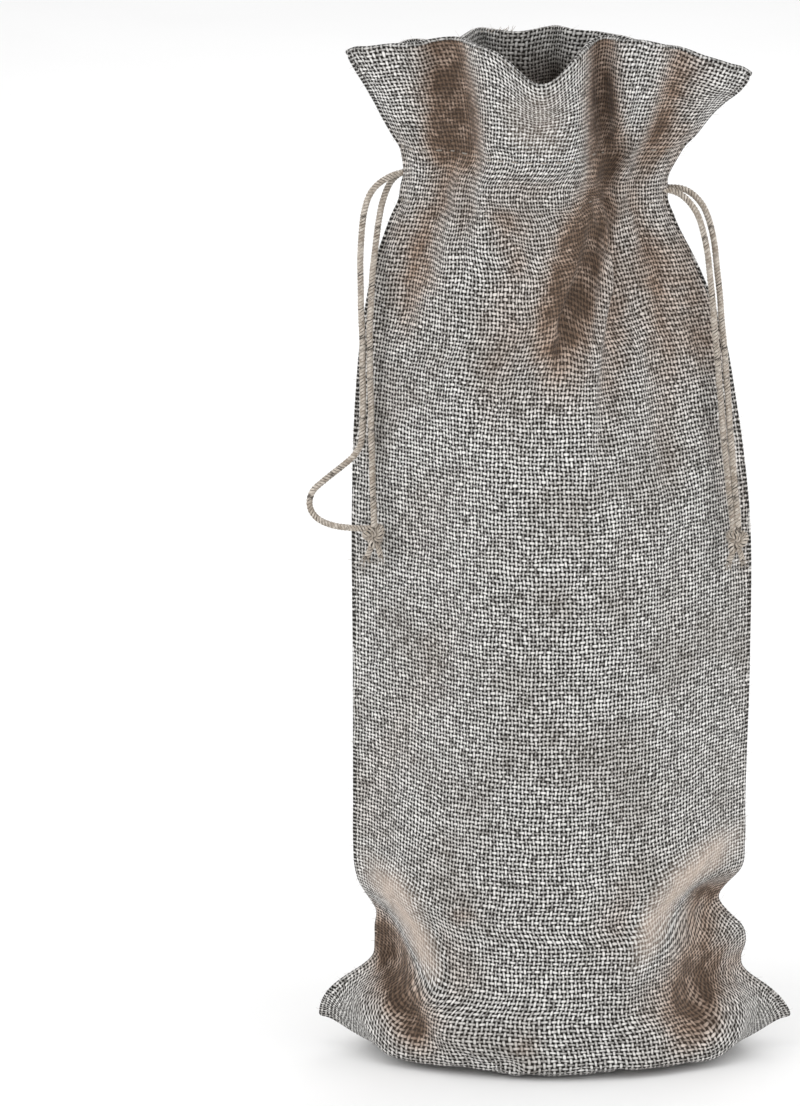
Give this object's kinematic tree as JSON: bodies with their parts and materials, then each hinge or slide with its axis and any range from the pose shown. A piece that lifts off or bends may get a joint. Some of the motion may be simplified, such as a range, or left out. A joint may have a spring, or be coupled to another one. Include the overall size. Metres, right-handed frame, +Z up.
{
  "type": "drawstring wine gift bag",
  "caption": "Tall soft cloth gift bag for a wine bottle, gathered at the neck by two drawstrings with knotted tails, with a ruffled open header.",
  "frame": {"origin": "centre of the bag's footprint from ear to ear, on the surface that it stands on", "axes": "+Z up along the bag's height, front towards -Y, +X to the right as seen from the front"},
  "size_m": [0.1461, 0.0762, 0.312],
  "materials": {
    "bag_cloth": "coarse matt jute and linen weave",
    "facing_cloth": "the same weave, seen from its inner side",
    "seam_edges": "overlocked raw cloth edges",
    "sewing_thread": "matt spun thread",
    "twine": "twisted jute twine, matt and hairy"
  },
  "bodies": {
    "bag": {"front_panel": "bag_cloth", "back_panel": "bag_cloth", "front_facing": "facing_cloth", "back_facing": "facing_cloth", "left_seam_allowance": "seam_edges", "right_seam_allowance": "seam_edges", "bottom_seam_allowance": "seam_edges", "left_seam_stitching": "sewing_thread", "right_seam_stitching": "sewing_thread", "bottom_seam_stitching": "sewing_thread", "front_casing_upper_stitching": "sewing_thread", "front_casing_lower_stitching": "sewing_thread", "back_casing_upper_stitching": "sewing_thread", "back_casing_lower_stitching": "sewing_thread", "left_slit_tacks": "sewing_thread", "right_slit_tacks": "sewing_thread", "left_drawstring_loop": "twine", "right_drawstring_loop": "twine"},
    "left_drawstring": {"left_front_tail": "twine", "left_back_tail": "twine", "left_knot": "twine"},
    "right_drawstring": {"right_front_tail": "twine", "right_back_tail": "twine", "right_knot": "twine"}
  },
  "joints": [
    {"name": "left_drawstring_pull", "type": "slide", "parent": "bag", "child": "left_drawstring", "axis": [-1, 0, 0], "range_m": [0, 0.02]},
    {"name": "right_drawstring_pull", "type": "slide", "parent": "bag", "child": "right_drawstring", "axis": [1, 0, 0], "range_m": [0, 0.02]}
  ]
}
